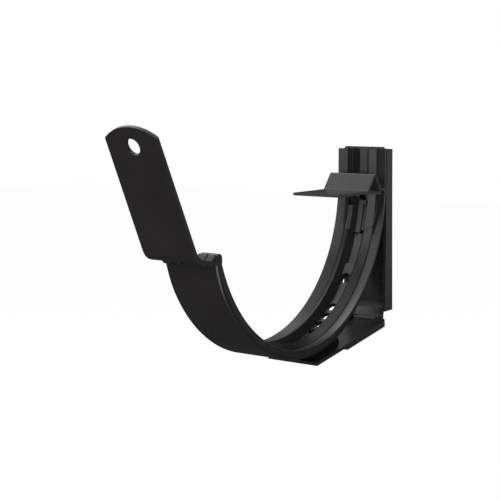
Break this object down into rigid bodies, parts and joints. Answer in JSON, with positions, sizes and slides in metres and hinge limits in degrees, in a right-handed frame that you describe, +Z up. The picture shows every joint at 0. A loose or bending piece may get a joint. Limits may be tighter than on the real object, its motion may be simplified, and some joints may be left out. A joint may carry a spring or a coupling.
{
  "type": "gutter bracket",
  "caption": "Black pressed-steel wall bracket for a half-round gutter: ribbed arc band with fold-over front tongue, rear clip and a channel wall plate with strut.",
  "frame": {"origin": "on the wall plane, mid-width, level with the centre of the half-round gutter", "axes": "+Y points into the wall, +Z up, +X across the bracket"},
  "size_m": [0.025, 0.1708, 0.1028],
  "materials": {
    "band_black": "semi-gloss black powder coat",
    "clip_black": "semi-gloss black powder coat",
    "plate_black": "semi-gloss black powder coat"
  },
  "bodies": {
    "root": {"gutter_band": "band_black", "rear_clip": "clip_black", "wall_plate": "plate_black"}
  },
  "joints": []
}
